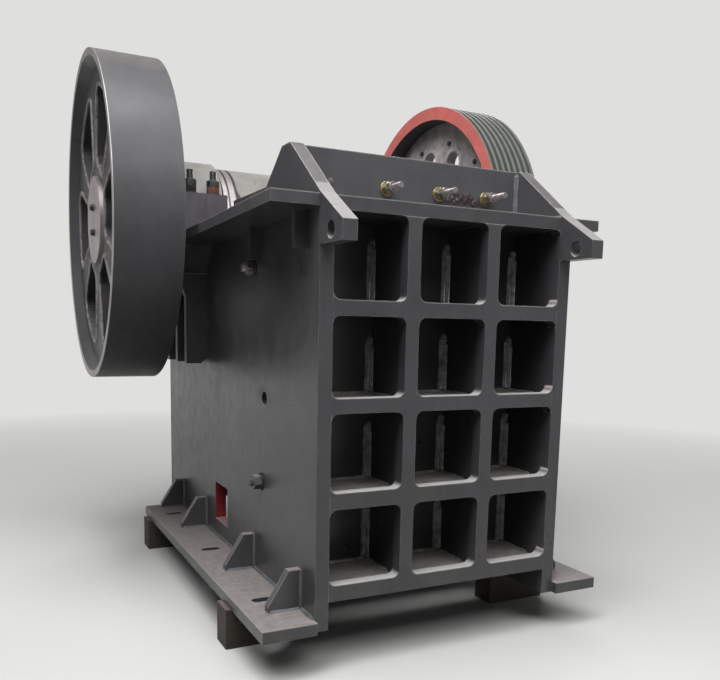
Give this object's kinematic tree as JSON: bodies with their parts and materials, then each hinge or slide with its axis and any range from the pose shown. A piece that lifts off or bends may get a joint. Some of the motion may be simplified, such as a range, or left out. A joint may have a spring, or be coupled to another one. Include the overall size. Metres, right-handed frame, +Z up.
{
  "type": "jaw crusher",
  "caption": "Single-toggle jaw crusher with an egg-crate front frame, swing jaw on an eccentric shaft, flywheel and grooved belt pulley, on loose support blocks.",
  "frame": {"origin": "on the ground, in the middle of the machine's footprint", "axes": "+Z up, +Y from the grid front to the rear, +X towards the belt pulley along the shaft"},
  "size_m": [2.192, 2.631, 2.547],
  "materials": {
    "frame_paint": "satin",
    "primer_paint": "matte",
    "wheel_paint": "satin",
    "machined_steel": "machined",
    "bearing_casting": "as cast",
    "jaw_steel": "as cast",
    "block_timber": "rough, dirty"
  },
  "bodies": {
    "frame": {"side_plate_left": "frame_paint", "side_plate_right": "frame_paint", "front_wall": "frame_paint", "front_grid": "frame_paint", "front_ribs_upright": "frame_paint", "front_ribs_level": "frame_paint", "top_collar": "frame_paint", "top_flange_left": "frame_paint", "top_flange_right": "frame_paint", "base_flange_left": "frame_paint", "base_flange_right": "frame_paint", "base_gussets_left": "frame_paint", "base_gussets_right": "frame_paint", "bearing_base_left": "bearing_casting", "bearing_base_right": "bearing_casting", "bearing_cap_left": "bearing_casting", "bearing_cap_right": "bearing_casting", "bearing_ribs_left": "frame_paint", "bearing_ribs_right": "frame_paint", "fixed_jaw_plate": "jaw_steel", "cheek_plate_left": "jaw_steel", "cheek_plate_right": "jaw_steel", "rear_wall": "primer_paint", "rear_ribs_upright": "frame_paint", "rear_ribs_level": "frame_paint", "toggle_shelf": "primer_paint", "toggle_seat": "primer_paint", "adjusting_wedge": "primer_paint", "toggle_plate": "primer_paint", "tension_rod": "machined_steel", "tension_spring": "machined_steel", "block_front_left": "block_timber", "block_front_right": "block_timber", "block_rear_left": "block_timber", "block_rear_right": "block_timber"},
    "rotor": {"eccentric_shaft": "machined_steel", "flywheel": "wheel_paint", "drive_pulley": "wheel_paint", "hub_cover_left": "machined_steel", "hub_cover_right": "machined_steel"},
    "swing_jaw": {"pitman": "bearing_casting", "pitman_ribs": "bearing_casting", "moving_jaw_plate": "jaw_steel", "barrel_rings": "machined_steel"}
  },
  "joints": [
    {"name": "shaft_spin", "type": "hinge", "parent": "frame", "child": "rotor", "pos_m": [0, 0.5055, 1.77], "axis": [1, 0, 0], "continuous": true},
    {"name": "jaw_bearing", "type": "hinge", "parent": "rotor", "child": "swing_jaw", "pos_m": [0, 0.5055, 1.758], "axis": [1, 0, 0], "continuous": true}
  ],
  "couplings": [
    {"joint": "jaw_bearing", "follows": "shaft_spin", "ratio": -1}
  ]
}
